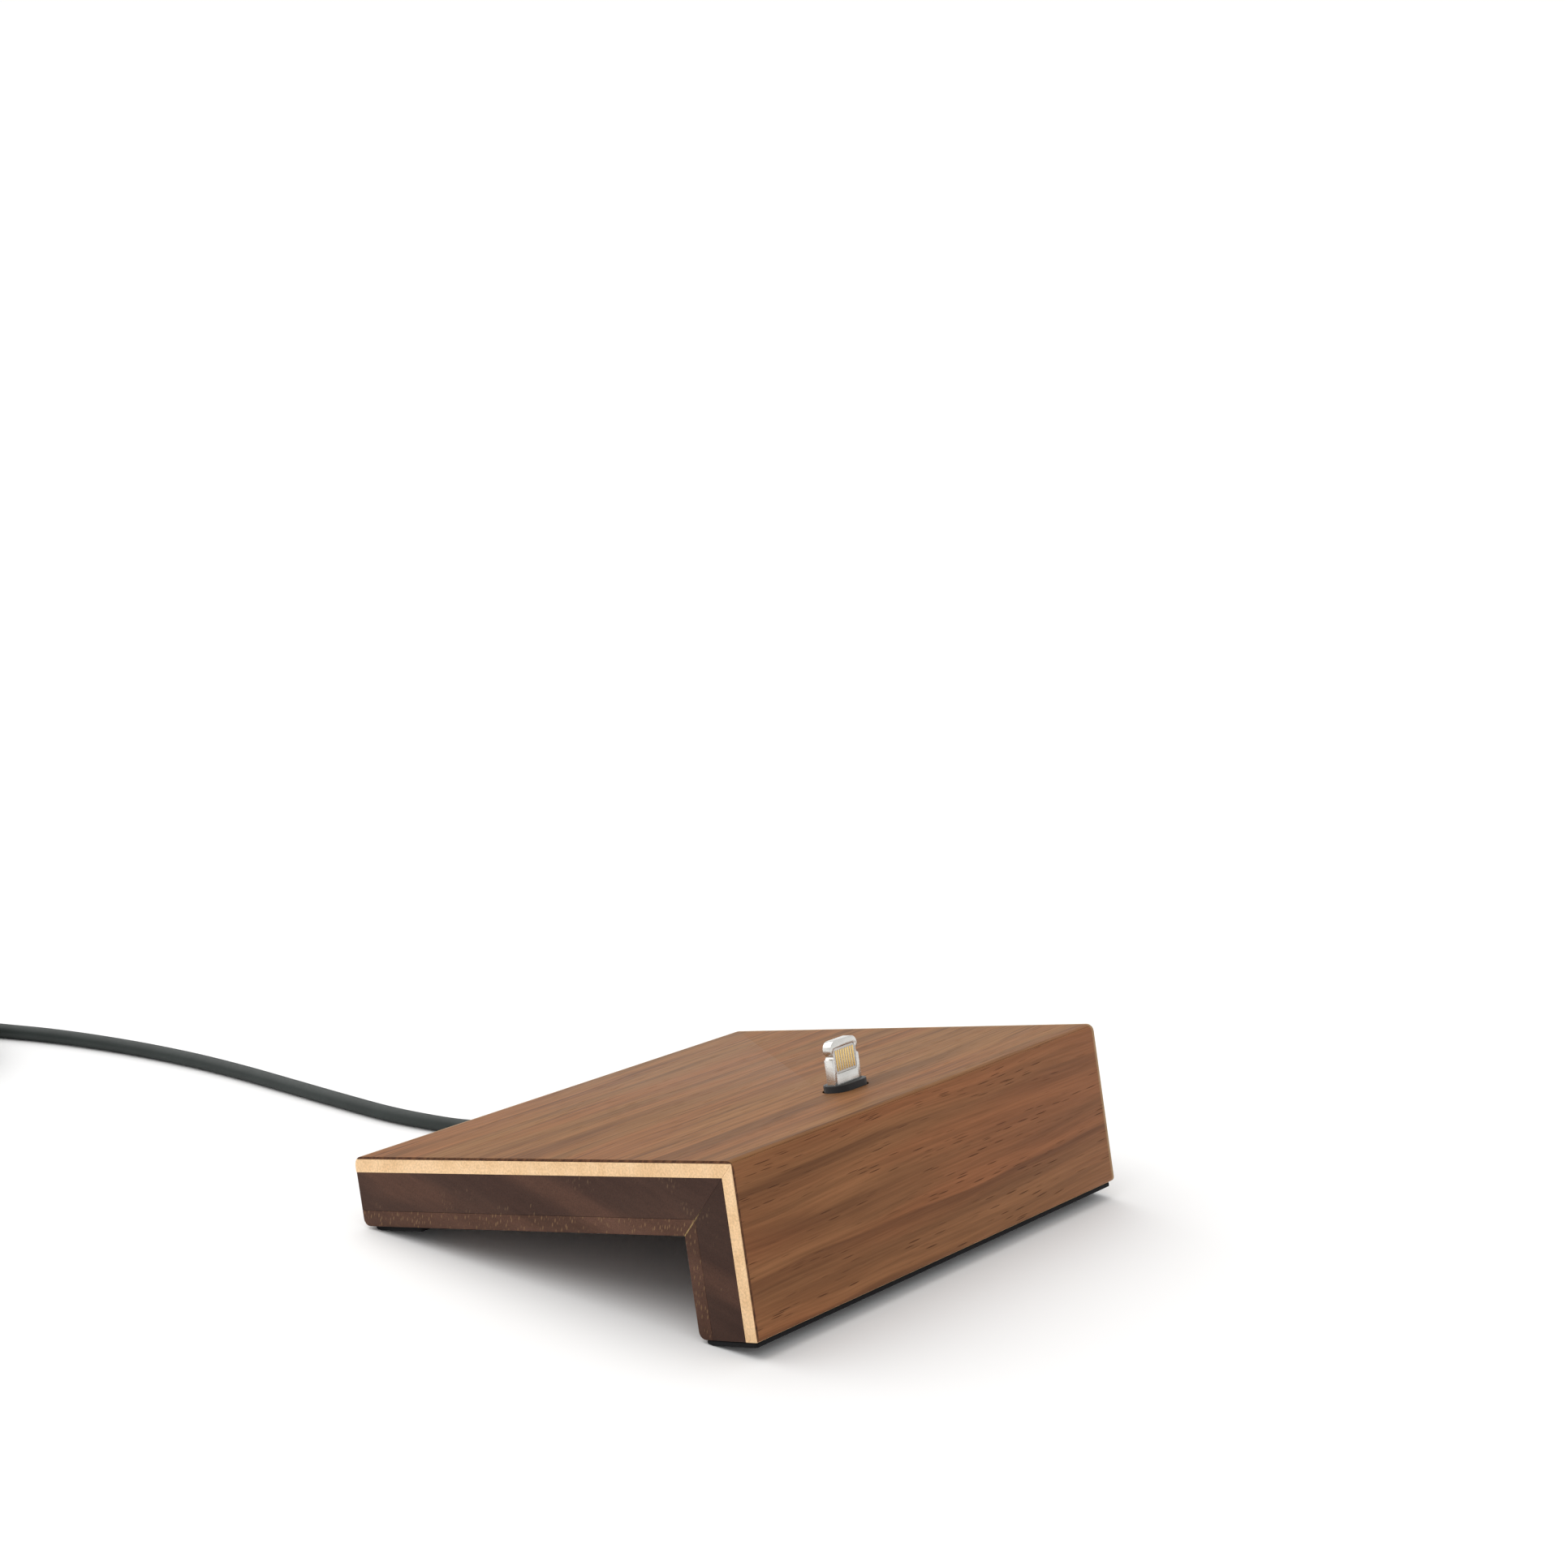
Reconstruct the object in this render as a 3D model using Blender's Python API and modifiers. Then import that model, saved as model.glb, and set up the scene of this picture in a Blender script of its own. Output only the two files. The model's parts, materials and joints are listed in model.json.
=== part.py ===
"""Phone stand: a laminated wooden board with a mitred front, a charging plug that stands in its
top face, rubber foot strips that tilt it back, and the plug's cord with its far end in a coil.

Lengths are in metres. The stand is drawn level in its own frame, whose origin is the middle of the
edge where the top face meets the front face: X to the right, Y back along the top face and Z up
from that face. The empty stand_frame then tips it back by TILT and sets it on the floor, Z = 0.
"""
import math

import bmesh
import bpy
from mathutils import Matrix, Vector

MM = 0.001

# Driving dimensions of the board
WIDTH = 93 * MM
TOP_LENGTH = 76 * MM
FRONT_HEIGHT = 26 * MM
LAYERS = (("veneer", 0.4 * MM), ("maple_ply", 2.1 * MM), ("core", 6.0 * MM), ("backing", 2.5 * MM))
BOARD = sum(thickness for name, thickness in LAYERS)
GLUE_LINE = 0.05 * MM
OUTER_EASING = 1.2 * MM
LOWER_EASING = 0.8 * MM
REAR_EASING = 1.5 * MM
BACK_EASING = 1.2 * MM

# Foot strips, and the tilt that their two edges of contact give
FOOT = 0.8 * MM
FOOT_SQUASH = 0.25 * MM
FRONT_FOOT_START = 0.8 * MM
FRONT_CONTACT = 10 * MM
FRONT_FOOT_INSET = 0.2 * MM
REAR_FOOT_START = 64.5 * MM
REAR_CONTACT = 74.5 * MM
REAR_FOOT_INSET = 0.8 * MM
FOOT_CORNER = 0.5 * MM
TILT = math.atan((FRONT_HEIGHT - BOARD) / (REAR_CONTACT - FRONT_CONTACT))
LIFT = (FRONT_CONTACT * math.sin(TILT) + (FRONT_HEIGHT + FOOT) * math.cos(TILT) - FOOT_SQUASH)

# Clearances and sizes that many pieces share
GAP = 0.3 * MM
SNUG = 0.05 * MM
OVERSHOOT = 2 * MM
WELD = 0.001 * MM
ARC_STEPS = 5
TINY_STEPS = 2

# Plug for the phone: a flat metal tongue in a right-angled moulded housing
PLUG_BACK = 15.4 * MM
NECK_WIDTH = 7.9 * MM
NECK_THICKNESS = 4.5 * MM
NECK_CORNER = 2.1 * MM
COLLAR_RISE = 1 * MM
HOUSING_WIDTH = 11.6 * MM
HOUSING_FRONT = 12.7 * MM
HOUSING_REAR = 26.8 * MM
HOUSING_TOP = -3.9 * MM
HOUSING_BOTTOM = -8.4 * MM
HOUSING_EASING = 0.8 * MM
TONGUE_WIDTH = 6.7 * MM
TONGUE_THICKNESS = 1.5 * MM
TONGUE_RISE = 6.7 * MM
TONGUE_ROOT = 3 * MM
TONGUE_CORNER = 1.3 * MM
WINDOW_WIDTH = 5.3 * MM
WINDOW_LOW = COLLAR_RISE + 1.6 * MM
WINDOW_HIGH = COLLAR_RISE + 5.6 * MM
NOTCH_RADIUS = 0.5 * MM
NOTCH_HEIGHT = COLLAR_RISE + 4.4 * MM
NOTCH_STEPS = 16
CONTACTS = 8
CONTACT_PITCH = 0.6 * MM
CONTACT_WIDTH = 0.36 * MM
CONTACT_LENGTH = 3.2 * MM

# Way through the wood for the plug and the cord
POCKET_WIDTH = HOUSING_WIDTH + 3 * GAP
POCKET_FRONT = HOUSING_FRONT - GAP
POCKET_REAR = HOUSING_REAR + GAP
CHANNEL_WIDTH = 5.4 * MM
CHANNEL_REAR = 39 * MM
REBATE_WIDTH = 25 * MM
REBATE_REAR = 44 * MM
PLATE_THICKNESS = 1.9 * MM
PLATE_CORNER = 1.5 * MM
SCREW_PLACES = ((-9.8 * MM, 15.8 * MM), (9.8 * MM, 15.8 * MM), (-9.8 * MM, 40.5 * MM), (9.8 * MM, 40.5 * MM))
SCREW_HEAD = 1.9 * MM
SCREW_SHANK = 0.8 * MM
SCREW_LENGTH = 6.2 * MM
SCREW_STEPS = 20
SCREW_RIM = 0.15 * MM
SCREW_POINT = 1 * MM
RECESS_DEPTH = 0.7 * MM
RECESS_WIDTH = 0.45 * MM
RECESS_LENGTH = 2.28 * MM

# Cord
CORD = 2.6 * MM
CORD_HEIGHT = (HOUSING_TOP + HOUSING_BOTTOM) / 2
CORD_REST = CORD / 2 + 0.02 * MM
CORD_SPACING = 2.6 * CORD
RELIEF_LENGTH = 11 * MM
RELIEF_RADIUS = 2.3 * MM
RELIEF_TIP = 1.75 * MM
RELIEF_GROOVES = 3
RELIEF_GROOVE_DEPTH = 0.35 * MM
ROUTE_BEHIND = (
    (-0.4 * MM, 45 * MM, 3.4 * MM),
    (-1.8 * MM, 51.6 * MM, 1.95 * MM),
    (-3.8 * MM, 57.4 * MM, CORD_REST),
    (-5.9 * MM, 63.4 * MM, CORD_REST),
    (-7.5 * MM, 71.4 * MM, CORD_REST),
    (-8.2 * MM, 82.4 * MM, CORD_REST),
    (-8.6 * MM, 93.4 * MM, CORD_REST),
    (-9.1 * MM, 105.4 * MM, CORD_REST),
    (-10.2 * MM, 116.4 * MM, CORD_REST),
    (-12.3 * MM, 127.4 * MM, CORD_REST),
    (-15.1 * MM, 137.4 * MM, CORD_REST),
    (-18.5 * MM, 146.5 * MM, CORD_REST),
    (-22.8 * MM, 155.2 * MM, CORD_REST),
)

# Coil, wound anticlockwise seen from above, and its tie. Its section is a ring of cords side by side,
# and the angles in that section count from its outer side upwards.
COIL_CENTRE = Vector((-47.5 * MM, 161 * MM, 0))
COIL_RADIUS = 15.3 * MM
COIL_PLACES = 8
BUNDLE_RADIUS = CORD / 2 / math.sin(math.pi / COIL_PLACES)
COIL_SECTION = 2 * BUNDLE_RADIUS + CORD
SECTION_STEPS = 12
COIL_STEPS = 48
COIL_LIFT = 0.05 * MM
COIL_IN = math.radians(35.6)
COIL_OUT = math.radians(141.5)
FIRST_PLACE = math.radians(-60)
LAST_PLACE = math.radians(-28)
TIE_ANGLE = math.radians(250)
TIE_WIDTH = 5 * MM
TIE_THICKNESS = 0.8 * MM
TIE_STEPS = 24

# Plug at the cord's far end
FAR_LEAD = 24 * MM
FAR_AXIS_HEIGHT = 4.05 * MM
LEAD_HEIGHTS = ((14 * MM, 2.6 * MM), (18 * MM, 3.1 * MM), (21 * MM, 3.7 * MM))
FAR_RELIEF_LENGTH = 10 * MM
FAR_RELIEF_RADIUS = 2.8 * MM
FAR_HOUSING = (20 * MM, 15.5 * MM, 8 * MM)
FAR_HOUSING_CORNER = 2.4 * MM
SHELL_LENGTH = 12.2 * MM
SHELL_WIDTH = 12 * MM
SHELL_HEIGHT = 4.5 * MM
SHELL_WALL = 0.35 * MM
SHELL_CORNER = 0.5 * MM
WINDOW = 2.2 * MM
WINDOW_SPREAD = 3 * MM
CARRIER_HEIGHT = 1.8 * MM
STRIPS = 4
STRIP_PITCH = 2.3 * MM
STRIP_WIDTH = 1.2 * MM
STRIP_THICKNESS = 0.2 * MM

# Flat outlines are drawn on one of these planes: the first axis, the second axis, then the normal
FROM_SIDE = Matrix(((0, 0, 1, 0), (1, 0, 0, 0), (0, 1, 0, 0), (0, 0, 0, 1)))
FROM_FRONT = Matrix(((1, 0, 0, 0), (0, 0, -1, 0), (0, 1, 0, 0), (0, 0, 0, 1)))
FROM_ABOVE = Matrix.Identity(4)
ALONG_Y = Matrix.Rotation(math.radians(-90), 4, "X")
ALONG_X = Matrix.Rotation(math.radians(90), 4, "Y")

WALNUT = ("walnut_face", (0.26, 0.125, 0.062), 0.5, 0.0)
MAPLE = ("maple", (0.85, 0.6, 0.33), 0.5, 0.0)
CORE_WOOD = ("walnut_core", (0.065, 0.04, 0.032), 0.65, 0.0)
BACKING_WOOD = ("walnut_backing", (0.12, 0.075, 0.052), 0.65, 0.0)
BLACK_PLASTIC = ("black_plastic", (0.015, 0.015, 0.016), 0.45, 0.0)
NICKEL = ("nickel", (0.68, 0.67, 0.64), 0.25, 1.0)
GOLD = ("gold", (0.83, 0.6, 0.24), 0.3, 1.0)
CARRIER = ("contact_carrier", (0.75, 0.75, 0.73), 0.5, 0.0)
RUBBER = ("foot_rubber", (0.014, 0.014, 0.014), 0.85, 0.0)
SCREW_STEEL = ("screw_steel", (0.2, 0.2, 0.21), 0.35, 1.0)
JACKET = ("cord_jacket", (0.055, 0.065, 0.062), 0.5, 0.0)
STRAP = ("tie_strap", (0.03, 0.032, 0.034), 0.9, 0.0)


def clear_scene():
    for thing in list(bpy.data.objects):
        bpy.data.objects.remove(thing)


def new_collection(name):
    collection = bpy.data.collections.new(name)
    bpy.context.scene.collection.children.link(collection)
    return collection


def finish_of(slot):
    """The material of a finish, made the first time that it is asked for."""
    name, colour, roughness, metallic = slot
    if name in bpy.data.materials:
        return bpy.data.materials[name]
    material = bpy.data.materials.new(name)
    material.use_nodes = True
    shader = material.node_tree.nodes["Principled BSDF"]
    shader.inputs["Base Color"].default_value = (*colour, 1)
    shader.inputs["Roughness"].default_value = roughness
    shader.inputs["Metallic"].default_value = metallic
    material.diffuse_color = (*colour, 1)
    return material


def place(name, data, slot, parent=None, matrix=None):
    """Add a piece, or a cutter where there is no finish, to the scene."""
    thing = bpy.data.objects.new(name, data)
    if slot is None:
        cutters.objects.link(thing)
        thing.hide_render = True
        thing.display_type = "WIRE"
    else:
        pieces.objects.link(thing)
        data.materials.append(finish_of(slot))
    thing.parent = parent
    if matrix is not None:
        thing.matrix_local = matrix
    return thing


def add_frame(name, matrix):
    frame = bpy.data.objects.new(name, None)
    pieces.objects.link(frame)
    frame.matrix_world = matrix
    return frame


def box(name, low, high, slot, parent=None, easing=0):
    """A box between two corners, with its edges rounded where there is an easing."""
    low = Vector(low)
    high = Vector(high)
    size = high - low
    mesh = bpy.data.meshes.new(name)
    shape = bmesh.new()
    placing = Matrix.Translation((low + high) / 2) @ Matrix.Diagonal((*size, 1))
    bmesh.ops.create_cube(shape, size=1, matrix=placing)
    shape.to_mesh(mesh)
    shape.free()
    thing = place(name, mesh, slot, parent)
    if easing:
        bevel = thing.modifiers.new("easing", "BEVEL")
        bevel.width = easing
        bevel.segments = 3
    return thing


def rounded(corners, steps=ARC_STEPS):
    """Closed outline through corners given as (x, y, radius), each one turned as an arc."""
    points = []
    for index, (x, y, radius) in enumerate(corners):
        corner = Vector((x, y))
        if not radius:
            points.append(corner)
            continue
        before = (Vector(corners[index - 1][:2]) - corner).normalized()
        after = (Vector(corners[(index + 1) % len(corners)][:2]) - corner).normalized()
        half_angle = before.angle(after) / 2
        centre = corner + (before + after).normalized() * radius / math.sin(half_angle)
        start = (corner + before * radius / math.tan(half_angle) - centre).normalized()
        end = (corner + after * radius / math.tan(half_angle) - centre).normalized()
        for step in range(steps + 1):
            points.append(centre + start.slerp(end, step / steps) * radius)
    return points


def rectangle(width, height, radius, centre=(0, 0), steps=ARC_STEPS):
    """Outline of a rectangle with rounded corners."""
    x, y = centre
    half_width = width / 2
    half_height = height / 2
    corners = (
        (x - half_width, y - half_height, radius),
        (x + half_width, y - half_height, radius),
        (x + half_width, y + half_height, radius),
        (x - half_width, y + half_height, radius),
    )
    return rounded(corners, steps)


def circle(radius, centre, steps):
    """Outline of a circle, as evenly spaced points."""
    x, y = centre
    angles = [math.tau * step / steps for step in range(steps)]
    return [(x + radius * math.cos(angle), y + radius * math.sin(angle)) for angle in angles]


def flat(name, outlines, low, high, plane, slot, parent=None):
    """Closed solid of a flat outline and its holes, from low to high along the plane's normal."""
    curve = bpy.data.curves.new(name, "CURVE")
    curve.dimensions = "2D"
    curve.fill_mode = "BOTH"
    curve.extrude = (high - low) / 2
    for outline in outlines:
        spline = curve.splines.new("POLY")
        spline.points.add(len(outline) - 1)
        spline.use_cyclic_u = True
        for point, (x, y) in zip(spline.points, outline):
            point.co = (x, y, 0, 1)
    guide = bpy.data.objects.new(name, curve)
    bpy.context.scene.collection.objects.link(guide)
    bpy.context.view_layer.update()
    mesh = bpy.data.meshes.new_from_object(guide.evaluated_get(bpy.context.evaluated_depsgraph_get()))
    bpy.data.objects.remove(guide)
    shape = bmesh.new()
    shape.from_mesh(mesh)
    bmesh.ops.remove_doubles(shape, verts=shape.verts, dist=WELD)
    shape.transform(plane @ Matrix.Translation((0, 0, (low + high) / 2)))
    bmesh.ops.recalc_face_normals(shape, faces=shape.faces)
    if shape.calc_volume(signed=True) < 0:
        bmesh.ops.reverse_faces(shape, faces=shape.faces)
    shape.to_mesh(mesh)
    shape.free()
    mesh.name = name
    return place(name, mesh, slot, parent)


def turned(name, profile, slot, parent=None, matrix=None, steps=SCREW_STEPS):
    """Solid turned about Z from a profile of (radius, height) that runs down its outer side."""
    mesh = bpy.data.meshes.new(name)
    mesh.from_pydata([(radius, 0, height) for radius, height in profile],
                     [(index, index + 1) for index in range(len(profile) - 1)], [])
    thing = place(name, mesh, slot, parent, matrix)
    screw = thing.modifiers.new("turn", "SCREW")
    screw.steps = steps
    screw.render_steps = steps
    screw.use_merge_vertices = True
    screw.merge_threshold = WELD
    screw.use_smooth_shade = True
    return thing


def boolean(thing, cutter, operation="DIFFERENCE"):
    modifier = thing.modifiers.new(cutter.name, "BOOLEAN")
    modifier.operation = operation
    modifier.solver = "EXACT"
    modifier.object = cutter


def smooth_route(route, spacing):
    """Points at an even spacing along a smooth curve through the route's points."""
    pieces_per_span = 24
    ends = [2 * route[0] - route[1]] + route + [2 * route[-1] - route[-2]]
    fine = []
    for before, start, end, after in zip(ends, ends[1:], ends[2:], ends[3:]):
        for step in range(pieces_per_span):
            t = step / pieces_per_span
            fine.append(0.5 * (2 * start + (end - before) * t
                               + (2 * before - 5 * start + 4 * end - after) * t ** 2
                               + (3 * start - before - 3 * end + after) * t ** 3))
    fine.append(route[-1])
    travelled = [0]
    for start, end in zip(fine, fine[1:]):
        travelled.append(travelled[-1] + (end - start).length)
    count = round(travelled[-1] / spacing)
    points = [fine[0]]
    for index in range(1, count):
        target = travelled[-1] * index / count
        after = next(place for place, reached in enumerate(travelled) if reached >= target)
        share = (target - travelled[after - 1]) / (travelled[after] - travelled[after - 1])
        points.append(fine[after - 1].lerp(fine[after], share))
    return points + [fine[-1]]


def tube(name, route, slot):
    """Round cord along a route."""
    points = smooth_route([Vector(point) for point in route], CORD_SPACING)
    curve = bpy.data.curves.new(name, "CURVE")
    curve.dimensions = "3D"
    curve.bevel_depth = CORD / 2
    curve.bevel_resolution = 2
    curve.use_fill_caps = True
    spline = curve.splines.new("POLY")
    spline.points.add(len(points) - 1)
    for point, place_on_route in zip(spline.points, points):
        point.co = (*place_on_route, 1)
    return place(name, curve, slot)


def layer_outline(near, far, facing):
    """Side view of one board's layer, between two depths from the outer face, with its mitre."""
    if facing == "top":
        near_mitre = near + GLUE_LINE
        far_mitre = far + GLUE_LINE
        reach = TOP_LENGTH + OVERSHOOT
        return [(near_mitre, -near), (far_mitre, -far), (reach, -far), (reach, -near)]
    reach = -FRONT_HEIGHT - OVERSHOOT
    return [(near, -near), (near, reach), (far, reach), (far, -far)]


def build_boards(stand):
    """The top board and the front board, layer by layer, trimmed to the eased L of the side view."""
    corners = (
        (0, 0, OUTER_EASING),
        (0, -FRONT_HEIGHT, LOWER_EASING),
        (BOARD, -FRONT_HEIGHT, BACK_EASING),
        (BOARD, -BOARD, 0),
        (TOP_LENGTH, -BOARD, BACK_EASING),
        (TOP_LENGTH, 0, REAR_EASING),
    )
    envelope = flat("board_envelope", [rounded(corners)], -WIDTH / 2, WIDTH / 2, FROM_SIDE, None, stand)
    finishes = {"veneer": WALNUT, "maple_ply": MAPLE, "core": CORE_WOOD, "backing": BACKING_WOOD}
    boards = {}
    reach = WIDTH / 2 + OVERSHOOT
    for facing in ("top", "front"):
        depth = 0
        for layer, thickness in LAYERS:
            near = depth + GLUE_LINE / 2
            far = depth + thickness - GLUE_LINE / 2
            depth += thickness
            if layer == LAYERS[0][0]:
                near = -OVERSHOOT
            if layer == LAYERS[-1][0]:
                far = BOARD + OVERSHOOT
            name = facing + "_" + layer
            outline = layer_outline(near, far, facing)
            board = flat(name, [outline], -reach, reach, FROM_SIDE, finishes[layer], stand)
            boolean(board, envelope, "INTERSECT")
            boards[name] = board
    return boards


def cut_boards(boards, stand):
    """Slot for the plug's neck, pocket for its housing, channel for the cord, and the plate's rebate."""
    below = -BOARD - OVERSHOOT
    slot = rectangle(NECK_WIDTH + 2 * GAP, NECK_THICKNESS + 2 * GAP, NECK_CORNER + GAP, (0, PLUG_BACK))
    neck_slot = flat("neck_slot", [slot], HOUSING_TOP, OVERSHOOT, FROM_ABOVE, None, stand)
    half_pocket = POCKET_WIDTH / 2
    pocket = box("housing_pocket", (-half_pocket, POCKET_FRONT, below),
                 (half_pocket, POCKET_REAR, HOUSING_TOP + GAP), None, stand)
    half_channel = CHANNEL_WIDTH / 2
    channel = box("relief_channel", (-half_channel, POCKET_REAR - OVERSHOOT, below),
                  (half_channel, CHANNEL_REAR, CORD_HEIGHT + RELIEF_RADIUS + GAP), None, stand)
    half_groove = CORD / 2 + GAP
    groove = box("cord_groove", (-half_groove, CHANNEL_REAR - OVERSHOOT, below),
                 (half_groove, TOP_LENGTH + OVERSHOOT, CORD_HEIGHT + half_groove), None, stand)
    rebate_outline = rectangle(REBATE_WIDTH, REBATE_REAR - POCKET_FRONT, PLATE_CORNER + GAP,
                               (0, (REBATE_REAR + POCKET_FRONT) / 2))
    backing = LAYERS[-1][1]
    rebate = flat("plate_rebate", [rebate_outline], below, -BOARD + backing + GAP, FROM_ABOVE, None, stand)
    for layer, thickness in LAYERS[:3]:
        boolean(boards["top_" + layer], neck_slot)
    for cutter in (pocket, channel, groove):
        boolean(boards["top_core"], cutter)
    for cutter in (rebate, groove):
        boolean(boards["top_backing"], cutter)


def build_cover(boards, stand):
    """Plate over the plug's pocket, flush with the underside, and its four countersunk screws."""
    face = -BOARD + GAP / 2
    outline = rectangle(REBATE_WIDTH - 2 * GAP, REBATE_REAR - POCKET_FRONT - 2 * GAP, PLATE_CORNER,
                        (0, (REBATE_REAR + POCKET_FRONT) / 2))
    plate = flat("cover_plate", [outline], face, face + PLATE_THICKNESS, FROM_ABOVE, BLACK_PLASTIC, stand)
    cone_top = SCREW_RIM + SCREW_HEAD - SCREW_SHANK
    for number, (x, back) in enumerate(SCREW_PLACES, 1):
        here = Matrix.Translation((x, back, face))
        profile = ((0, SCREW_LENGTH), (SCREW_SHANK, SCREW_LENGTH - SCREW_POINT), (SCREW_SHANK, cone_top),
                   (SCREW_HEAD, SCREW_RIM), (SCREW_HEAD, 0), (0, 0))
        screw = turned("cover_screw_%d" % number, profile, SCREW_STEEL, stand, here)
        hole_top = SCREW_LENGTH + GAP
        hole_profile = ((0, hole_top), (SCREW_SHANK + GAP, hole_top), (SCREW_SHANK + GAP, cone_top),
                        (SCREW_HEAD + GAP, SCREW_RIM), (SCREW_HEAD + GAP, -OVERSHOOT), (0, -OVERSHOOT))
        hole = turned("screw_hole_%d" % number, hole_profile, None, stand, here)
        boolean(plate, hole)
        boolean(boards["top_core"], hole)
        for wide, deep in ((RECESS_LENGTH, RECESS_WIDTH), (RECESS_WIDTH, RECESS_LENGTH)):
            low = (x - wide / 2, back - deep / 2, face - OVERSHOOT)
            high = (x + wide / 2, back + deep / 2, face + RECESS_DEPTH)
            boolean(screw, box("screw_recess_%d" % number, low, high, None, stand))


def build_feet(stand, floor):
    """Rubber strips on the front board's lower end and under the top board's rear edge."""
    strips = (
        ("front_foot", FRONT_FOOT_START, FRONT_CONTACT, -FRONT_HEIGHT, FRONT_FOOT_INSET),
        ("rear_foot", REAR_FOOT_START, REAR_CONTACT, -BOARD, REAR_FOOT_INSET),
    )
    for name, front, rear, wood, inset in strips:
        outline = rectangle(WIDTH - 2 * inset, rear - front, FOOT_CORNER, (0, (front + rear) / 2))
        foot = flat(name, [outline], wood - FOOT, wood - SNUG, FROM_ABOVE, RUBBER, stand)
        boolean(foot, floor)


def build_plug(stand):
    """Moulded housing with a neck, and the metal tongue, contact carrier and contacts in it."""
    half = HOUSING_WIDTH / 2
    housing = box("plug_housing", (-half, HOUSING_FRONT, HOUSING_BOTTOM), (half, HOUSING_REAR, HOUSING_TOP),
                  BLACK_PLASTIC, stand, HOUSING_EASING)
    neck_outline = rectangle(NECK_WIDTH, NECK_THICKNESS, NECK_CORNER, (0, PLUG_BACK))
    neck = flat("plug_neck", [neck_outline], HOUSING_BOTTOM + OVERSHOOT, COLLAR_RISE, FROM_ABOVE, None, stand)
    boolean(housing, neck, "UNION")
    root = COLLAR_RISE - TONGUE_ROOT
    socket_low = (-TONGUE_WIDTH / 2 - SNUG, PLUG_BACK - TONGUE_THICKNESS / 2 - SNUG, root - SNUG)
    socket_high = (TONGUE_WIDTH / 2 + SNUG, PLUG_BACK + TONGUE_THICKNESS / 2 + SNUG, COLLAR_RISE + OVERSHOOT)
    boolean(housing, box("tongue_socket", socket_low, socket_high, None, stand))

    front = -PLUG_BACK - TONGUE_THICKNESS / 2
    back = front + TONGUE_THICKNESS
    half = TONGUE_WIDTH / 2
    tip = COLLAR_RISE + TONGUE_RISE
    tongue_outline = rounded(((-half, root, 0), (half, root, 0), (half, tip, TONGUE_CORNER),
                              (-half, tip, TONGUE_CORNER)))
    window_middle = (WINDOW_LOW + WINDOW_HIGH) / 2
    window_height = WINDOW_HIGH - WINDOW_LOW
    window = rectangle(WINDOW_WIDTH, window_height, NOTCH_RADIUS, (0, window_middle))
    tongue = flat("plug_tongue", [tongue_outline, window], front, back, FROM_FRONT, NICKEL, stand)
    for side in (-1, 1):
        notch = circle(NOTCH_RADIUS, (side * half, NOTCH_HEIGHT), NOTCH_STEPS)
        boolean(tongue, flat("tongue_notch", [notch], front - OVERSHOOT, back + OVERSHOOT, FROM_FRONT, None, stand))

    carrier_outline = rectangle(WINDOW_WIDTH - 2 * SNUG, window_height - 2 * SNUG, NOTCH_RADIUS - SNUG,
                                (0, window_middle))
    seats = []
    for number in range(1, CONTACTS + 1):
        centre = ((number - (CONTACTS + 1) / 2) * CONTACT_PITCH, window_middle)
        corner = CONTACT_WIDTH / 4
        seats.append(rectangle(CONTACT_WIDTH + SNUG, CONTACT_LENGTH + SNUG, corner, centre, TINY_STEPS))
        contact = rectangle(CONTACT_WIDTH, CONTACT_LENGTH, corner, centre, TINY_STEPS)
        flat("plug_contact_%d" % number, [contact], front, back, FROM_FRONT, GOLD, stand)
    flat("plug_carrier", [carrier_outline] + seats, front + SNUG, back - SNUG, FROM_FRONT, CARRIER, stand)


def relief_profile(length, radius, tip_radius):
    """Tapered strain relief with grooves round it, base at height 0 and thin end on top."""
    ribs = 2 * RELIEF_GROOVES + 1
    profile = [(0, length)]
    height = length
    for index in range(ribs):
        top_radius = radius + (tip_radius - radius) * height / length
        lower = height - length / ribs
        low_radius = radius + (tip_radius - radius) * lower / length
        inset = RELIEF_GROOVE_DEPTH if index % 2 else 0
        profile.append((top_radius - inset, height))
        profile.append((low_radius - inset, lower))
        height = lower
    profile.append((0, 0))
    return profile


def meeting(angle, place):
    """Where the cord meets the coil: the point, its heading there, and how far off it clears the ring."""
    radius = COIL_RADIUS + BUNDLE_RADIUS * math.cos(place)
    outward = Vector((math.cos(angle), math.sin(angle), 0))
    heading = Vector((-math.sin(angle), math.cos(angle), 0))
    outer = COIL_RADIUS + COIL_SECTION / 2
    clear = math.sqrt(outer ** 2 - (radius - CORD / 2) ** 2) + GAP
    return COIL_CENTRE + outward * radius, heading, clear


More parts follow.
